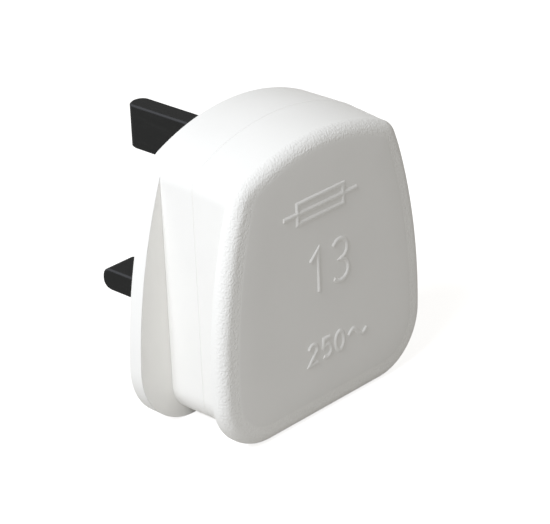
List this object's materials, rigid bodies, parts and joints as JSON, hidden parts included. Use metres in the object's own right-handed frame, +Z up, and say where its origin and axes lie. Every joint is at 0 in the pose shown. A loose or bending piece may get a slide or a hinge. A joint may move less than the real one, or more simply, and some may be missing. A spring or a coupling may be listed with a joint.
{
  "type": "three pin mains plug",
  "caption": "White fused three pin mains plug with black rectangular pins, a waisted finger grip, a crowned rear panel and a cord inlet at the foot.",
  "frame": {"origin": "point on the pin face, midway between the two lower pins' centres", "axes": "+Y out along the pins, +Z up towards the earth pin, +X to the right seen from the cover"},
  "size_m": [0.0514, 0.0429, 0.0505],
  "materials": {
    "white_shell": "white moulded plastic, smooth sides and panel, with a fine eroded texture round the rim",
    "black_pin": "satin black coating",
    "black_sleeve": "satin black moulded sleeve",
    "brass": "machined",
    "spring_bronze": "tinned spring strip",
    "screw_steel": "zinc plated",
    "fuse_cap": "nickel plated",
    "fuse_ceramic": "unglazed",
    "grip_fibre": "pressed red-brown fibre"
  },
  "bodies": {
    "root": {"base": "white_shell", "cover": "white_shell", "earth_pin": "black_pin", "neutral_pin": "black_pin", "live_pin": "black_pin", "neutral_pin_sleeve": "black_sleeve", "live_pin_sleeve": "black_sleeve", "live_terminal": "brass", "lower_fuse_clip": "spring_bronze", "upper_fuse_clip": "spring_bronze", "lower_clip_rivet": "brass", "upper_clip_rivet": "brass", "fuse_tube": "fuse_ceramic", "fuse_cap_lower": "fuse_cap", "fuse_cap_upper": "fuse_cap", "fuse_wire": "spring_bronze", "earth_terminal_screw": "screw_steel", "neutral_terminal_screw": "screw_steel", "live_terminal_screw": "screw_steel", "cord_grip_bar": "grip_fibre", "cord_grip_screw_left": "screw_steel", "cord_grip_screw_right": "screw_steel", "cover_screw": "screw_steel", "screw_retainer": "grip_fibre", "cover_insert": "brass"}
  },
  "joints": []
}
